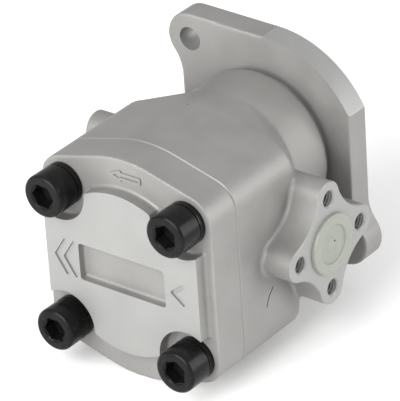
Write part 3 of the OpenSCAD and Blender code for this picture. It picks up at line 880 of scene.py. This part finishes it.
def screw_points(tree, sizes):
    """Four points at the cover screws, from a grid turned to stand in X and Z."""
    x, z = screw_places(sizes)
    grid = tree.add(
        "GeometryNodeMeshGrid",
        Size_X=tree.named("Spacing X", 2 * x),
        Size_Y=tree.named("Spacing Z", 2 * z),
        Vertices_X=2,
        Vertices_Y=2,
    )
    return tree.add(
        "GeometryNodeTransform",
        Geometry=grid.outputs["Mesh"],
        Translation=(0, 0, BODY_Z),
        Rotation=(math.pi / 2, 0, 0),
    ).outputs["Geometry"]


def screw_master(fasteners):
    """One socket head screw about the Y axis, with a rounded rim and a hexagon socket."""
    seat = SEAT - fasteners.washer_height
    crown = seat - fasteners.head_height
    head, shank, soft = fasteners.head_radius, fasteners.shank_radius, fasteners.rounding
    rim = [(head - soft + soft * math.sin(a), crown + soft - soft * math.cos(a))
           for a in [math.radians(15 * i) for i in range(7)]]
    bevel = 0.5 * MM
    end = seat + fasteners.shank_length
    profile = [(0, crown), *rim, (head, seat - bevel), (head - bevel, seat)]
    profile += [(shank, seat), (shank, end - bevel), (shank - bevel, end), (0, end)]
    screw = lathe(profile, steps=64)
    corner = fasteners.hex_flats / math.sqrt(3)
    turns = [i * math.pi / 3 for i in range(6)]
    hexagon = [(corner * math.cos(a), corner * math.sin(a)) for a in turns]
    combine(screw, prism(hexagon, crown - bevel, crown + fasteners.hex_depth))
    lip = [(0, crown - bevel), (corner + bevel * 1.4, crown - bevel)]
    lip += [(corner - bevel * 0.4, crown + bevel)]
    combine(screw, lathe(lip + [(0, crown + bevel)], steps=64))
    return screw


class PUMP_OT_cover_screws(bpy.types.Operator):
    """Builds the four cover screws, each turned its own way."""

    bl_idname = "pump.cover_screws"
    bl_label = "Cover Screws"

    def execute(self, context):
        master = screw_master(context.scene.pump_fasteners)
        tree = Tree("cover_screws")
        points = screw_points(tree, context.scene.pump_casting)
        turn = tree.add("FunctionNodeRandomValue", Seed=tree.named("Seed", 4, "NodeSocketInt"))
        turn.data_type = "FLOAT_VECTOR"
        turn.inputs["Min"].default_value = (0, 0, 0)
        turn.inputs["Max"].default_value = (0, math.pi / 3, 0)
        screw = tree.named("Screw", master, "NodeSocketObject")
        source = tree.add("GeometryNodeObjectInfo", Object=screw)
        placed = tree.add(
            "GeometryNodeInstanceOnPoints",
            Points=points,
            Instance=source.outputs["Geometry"],
            Rotation=turn.outputs[0],
        )
        piece = tree.run(placed.outputs["Instances"], finish_of("black_oxide"), "socket_screws")
        drop(master)
        finish(piece, "socket_screws", "housing", ("cover_screws",), 30)
        return {"FINISHED"}


class PUMP_OT_spring_washers(bpy.types.Operator):
    """Builds the split spring washers under the screw heads."""

    bl_idname = "pump.spring_washers"
    bl_label = "Spring Washers"

    def execute(self, context):
        fasteners = context.scene.pump_fasteners
        inner = fasteners.shank_radius + 0.15 * MM
        outer = fasteners.head_radius - 0.1 * MM
        tree = Tree("spring_washers")
        coil = tree.add(
            "GeometryNodeCurveSpiral",
            Resolution=72,
            Rotations=tree.named("Turns", 0.965),
            Start_Radius=tree.named("Radius", (inner + outer) / 2),
            End_Radius=(inner + outer) / 2,
            Height=tree.named("Rise", 0.25 * MM),
        )
        section = tree.add(
            "GeometryNodeCurvePrimitiveQuadrilateral",
            Width=tree.named("Width", outer - inner),
            Height=tree.named("Thickness", fasteners.washer_height - 0.25 * MM),
        )
        ring = tree.add(
            "GeometryNodeCurveToMesh",
            Curve=coil.outputs["Curve"],
            Profile_Curve=section.outputs["Curve"],
            Fill_Caps=True,
        )
        laid = tree.add(
            "GeometryNodeTransform",
            Geometry=ring.outputs["Mesh"],
            Translation=(0, SEAT - fasteners.washer_height / 2 + 0.125 * MM, 0),
            Rotation=(math.pi / 2, math.pi * 0.8, 0),
        )
        placed = tree.add(
            "GeometryNodeInstanceOnPoints",
            Points=screw_points(tree, context.scene.pump_casting),
            Instance=laid.outputs["Geometry"],
        )
        piece = tree.run(placed.outputs["Instances"], finish_of("black_oxide"), "split_washers")
        finish(piece, "split_washers", "housing", ("spring_washers",), 30)
        return {"FINISHED"}


class PUMP_OT_port_threads(bpy.types.Operator):
    """Cuts the look of a thread into the eight port holes."""

    bl_idname = "pump.port_threads"
    bl_label = "Port Threads"

    def execute(self, context):
        sizes = context.scene.pump_casting
        pitch = context.scene.pump_fasteners.thread_pitch
        minor = PORT_BOLTS["hole_r_mm"] * MM
        run = sizes.thread_depth - 2 * MM
        tree = Tree("port_threads")
        radius = tree.named("Radius", minor + 0.2 * MM)
        coil = tree.add(
            "GeometryNodeCurveSpiral",
            Resolution=28,
            Rotations=run / pitch,
            Start_Radius=radius,
            End_Radius=radius,
            Height=run,
        )
        section = tree.add("GeometryNodeCurvePrimitiveCircle", Resolution=4, Radius=0.36 * pitch)
        ridge = tree.add(
            "GeometryNodeCurveToMesh",
            Curve=coil.outputs["Curve"],
            Profile_Curve=section.outputs["Curve"],
            Fill_Caps=True,
        )
        laid = tree.add(
            "GeometryNodeTransform",
            Geometry=ridge.outputs["Mesh"],
            Translation=(PORTS[1][0] - sizes.thread_depth + 0.6 * MM, 0, 0),
            Rotation=(0, math.pi / 2, 0),
        )
        circle = tree.add(
            "GeometryNodeMeshCircle",
            Vertices=4,
            Radius=tree.named("Reach", PORT_BOLTS["pcd_mm"] * MM / 2),
        )
        points = tree.add(
            "GeometryNodeTransform",
            Geometry=circle.outputs["Mesh"],
            Translation=(0, PORTS[1][1], PORTS[1][2]),
            Rotation=(0, math.pi / 2, 0),
        )
        placed = tree.add(
            "GeometryNodeInstanceOnPoints",
            Points=points.outputs["Geometry"],
            Instance=laid.outputs["Geometry"],
        )
        far_side = tree.add(
            "GeometryNodeTransform", Geometry=placed.outputs["Instances"], Rotation=(0, 0, math.pi)
        )
        moved = tree.add(
            "GeometryNodeTransform",
            Geometry=far_side.outputs["Geometry"],
            Translation=(PORTS[1][0] + PORTS[-1][0], PORTS[1][1] + PORTS[-1][1], 0),
        )
        both = tree.group.nodes.new("GeometryNodeJoinGeometry")
        tree.group.links.new(placed.outputs["Instances"], both.inputs["Geometry"])
        tree.group.links.new(moved.outputs["Geometry"], both.inputs["Geometry"])
        piece = tree.run(both.outputs["Geometry"], finish_of("milled"), "port_threads")
        finish(piece, "port_threads", "housing")
        return {"FINISHED"}


def plug_profile(fasteners, stem):
    """Half the section of a port plug, from the middle of its inside to the middle of its face."""
    rim, recess, wall = fasteners.plug_rim, fasteners.plug_recess, fasteners.plug_wall
    floor = rim - recess - 1.1 * MM
    middle = rim - recess
    soft = 0.35 * MM
    outer = fasteners.plug_radius
    profile = [(0, floor), (stem - wall, floor), (stem - wall, -fasteners.plug_stem)]
    profile += [(stem - 0.3 * MM, -fasteners.plug_stem), (stem, -fasteners.plug_stem + 0.6 * MM)]
    profile += [(stem, 0), (outer, 0), (outer, rim - soft), (outer - soft * 0.3, rim - soft * 0.3)]
    profile += [(outer - soft, rim)]
    profile += [(stem + soft, rim), (stem, rim - soft * 0.4), (stem - 0.2 * MM, rim - soft)]
    profile += [(stem - 0.3 * MM, middle + soft * 0.6), (stem - 0.7 * MM, middle)]
    ring = 2.6 * MM
    profile += [(ring, middle), (ring - 0.2 * MM, middle + 0.12 * MM)]
    profile += [(ring - 0.6 * MM, middle + 0.12 * MM), (ring - 0.8 * MM, middle), (0, middle)]
    return profile


class PUMP_OT_port_plugs(bpy.types.Operator):
    """Builds the push-in plugs of the inlet and the outlet."""

    bl_idname = "pump.port_plugs"
    bl_label = "Port Plugs"

    def execute(self, context):
        fasteners = context.scene.pump_fasteners
        stem = context.scene.pump_casting.port_bore - 0.08 * MM
        for side, name, body in ((1, "inlet_plug", "inlet_cap"), (-1, "outlet_plug", "outlet_cap")):
            face, port_y, port_z = PORTS[side]
            profile = [(r, face + side * x) for r, x in plug_profile(fasteners, stem)]
            piece = lathe(profile, (0, port_y, port_z), "X", 128)
            piece.data.materials.append(finish_of("moulded_plastic"))
            middle = face + side * (fasteners.plug_rim - fasteners.plug_recess)
            low, high = sorted((middle - side * 0.4 * MM, middle + side * 1 * MM))
            place = (0, port_y + 1.7 * MM, port_z + 0.4 * MM)
            gate = rod(low, high, 0.35 * MM, place, "X", 20)
            # The gate's dimple takes the near-black rubber finish: painted shade inside the dimple.
            combine(piece, gate, material=finish_of("rubber_and_painted_shade"))
            finish(piece, "moulded_" + name, body, (name,), 40)
        return {"FINISHED"}


class PUMP_OT_inner_parts(bpy.types.Operator):
    """Gives the shafts, gears, bearings and seals their finishes."""

    bl_idname = "pump.inner_parts"
    bl_label = "Inner Parts"

    def execute(self, context):
        finishes = {
            "ground_steel": ("drive_gear", "driven_gear", "shaft_key", "dowel_pins", "garter_spring"),
            "turned_aluminium": ("front_bearing_block", "rear_bearing_block"),
            "bush_bronze": [f"{g}_{end}_bush" for g in ("drive", "driven") for end in ("front", "rear")],
            "rubber_and_painted_shade": ("cover_seal", "shaft_seal", "pilot_o_ring")
            + ("front_pressure_seal", "rear_pressure_seal"),
            "nylon": ("front_backup_ring", "rear_backup_ring"),
            "black_oxide": ("seal_retaining_ring",),
        }
        for name, nodes in finishes.items():
            for node in nodes:
                slots = frame["nodes"][node].material_slots
                for slot in slots:
                    slot.material = finish_of(name)
                if not slots:
                    frame["nodes"][node].data.materials.append(finish_of(name))
        return {"FINISHED"}


class StageSettings(bpy.types.PropertyGroup):
    """Where the camera stands and how the stage is lit."""

    azimuth: angle("Azimuth", "Turn of the camera", 39.024)
    elevation: angle("Elevation", "Height of the camera", 29.4015)
    roll: angle("Roll", "Tilt of the camera", -3.901)
    distance: length("Distance", "From the middle of the screws to the camera", 1.2548)
    right: length("Right", "Sideways place of the camera", 23.77 * MM)
    up: length("Up", "Height of the camera above its aim", 23.53 * MM)
    lens: bpy.props.FloatProperty(name="Lens", description="Focal length in mm", default=330.77)


class PUMP_OT_stage(bpy.types.Operator):
    """Builds the floor, the lights and the camera."""

    bl_idname = "pump.stage"
    bl_label = "Stage"

    def execute(self, context):
        stage = context.scene.pump_stage
        a, e, r = stage.azimuth, stage.elevation, stage.roll
        back = Vector((math.sin(a) * math.cos(e), -math.cos(a) * math.cos(e), math.sin(e)))
        level = Vector((math.cos(a), math.sin(a), 0))
        rise = back.cross(level)
        right = math.cos(r) * level + math.sin(r) * rise
        up = -math.sin(r) * level + math.cos(r) * rise
        camera = bpy.data.objects.new("camera", bpy.data.cameras.new("camera"))
        context.scene.collection.objects.link(camera)
        aim = Vector((0, SEAT, BODY_Z))
        place = aim + stage.right * right + stage.up * up + stage.distance * back
        camera.matrix_world = Matrix.Translation(place) @ Matrix((right, up, back)).transposed().to_4x4()
        camera.data.sensor_fit = "HORIZONTAL"
        camera.data.lens = stage.lens
        camera.data.clip_end = 20
        context.scene.camera = camera
        self.floor(CAD_BOX[0][2])
        self.lights(aim, right, up, back)
        return {"FINISHED"}

    def floor(self, height):
        """A plain pale floor under the pump."""
        half = 4.0
        floor = block((-half, -half, height - 0.01), (half, half, height))
        floor.name = "floor"
        paint = bpy.data.materials.new("floor_paint")
        paint.use_nodes = True
        shader = paint.node_tree.nodes["Principled BSDF"]
        shader.inputs["Base Color"].default_value = (0.93, 0.93, 0.93, 1)
        shader.inputs["Roughness"].default_value = 0.9
        floor.data.materials.append(paint)

    def lights(self, aim, right, up, back):
        """Soft studio light: a wide front light, a side light and a pale surround."""
        for name, offset, size, power in (
            ("front_light", back * 0.75 - right * 0.55 + up * 0.05, 0.8, 15),
            ("side_light", right * 0.9 + back * 0.3 + up * 0.2, 0.6, 6),
        ):
            data = bpy.data.lights.new(name, "AREA")
            data.size = size
            data.energy = power
            lamp = bpy.data.objects.new(name, data)
            lamp.location = aim + offset
            lamp.rotation_mode = "QUATERNION"
            lamp.rotation_quaternion = (-offset).to_track_quat("-Z", "Y")
            bpy.context.scene.collection.objects.link(lamp)
        world = bpy.data.worlds.new("surround")
        world.use_nodes = True
        surround = world.node_tree.nodes["Background"]
        surround.inputs["Color"].default_value = (1, 1, 1, 1)
        surround.inputs["Strength"].default_value = 0.75
        bpy.context.scene.world = world
        bpy.context.scene.view_settings.view_transform = "Standard"


OPERATORS = (
    PUMP_OT_body,
    PUMP_OT_cover,
    PUMP_OT_cover_screws,
    PUMP_OT_spring_washers,
    PUMP_OT_port_threads,
    PUMP_OT_port_plugs,
    PUMP_OT_inner_parts,
    PUMP_OT_stage,
)


class PUMP_PT_panel(bpy.types.Panel):
    """Lists the pieces of the pump."""

    bl_idname = "PUMP_PT_panel"
    bl_label = "Gear Pump"
    bl_space_type = "VIEW_3D"
    bl_region_type = "UI"
    bl_category = "Gear Pump"

    def draw(self, context):
        for operator in OPERATORS:
            self.layout.operator(operator.bl_idname)


GROUPS = {
    "pump_casting": CastingSizes,
    "pump_fasteners": FastenerSizes,
    "pump_colours": FinishColours,
    "pump_stage": StageSettings,
}


def register():
    for group in GROUPS.values():
        bpy.utils.register_class(group)
    for name, group in GROUPS.items():
        setattr(bpy.types.Scene, name, bpy.props.PointerProperty(type=group))
    for kind in (*OPERATORS, PUMP_PT_panel):
        bpy.utils.register_class(kind)


def unregister():
    for kind in reversed((*OPERATORS, PUMP_PT_panel)):
        bpy.utils.unregister_class(kind)
    for name in GROUPS:
        delattr(bpy.types.Scene, name)
    for group in reversed(GROUPS.values()):
        bpy.utils.unregister_class(group)


def main():
    register()
    make_finishes()
    bpy.ops.pump.body()
    bpy.ops.pump.cover()
    bpy.ops.pump.cover_screws()
    bpy.ops.pump.spring_washers()
    bpy.ops.pump.port_threads()
    bpy.ops.pump.port_plugs()
    bpy.ops.pump.inner_parts()
    bpy.ops.pump.stage()


if __name__ == "__main__":
    main()
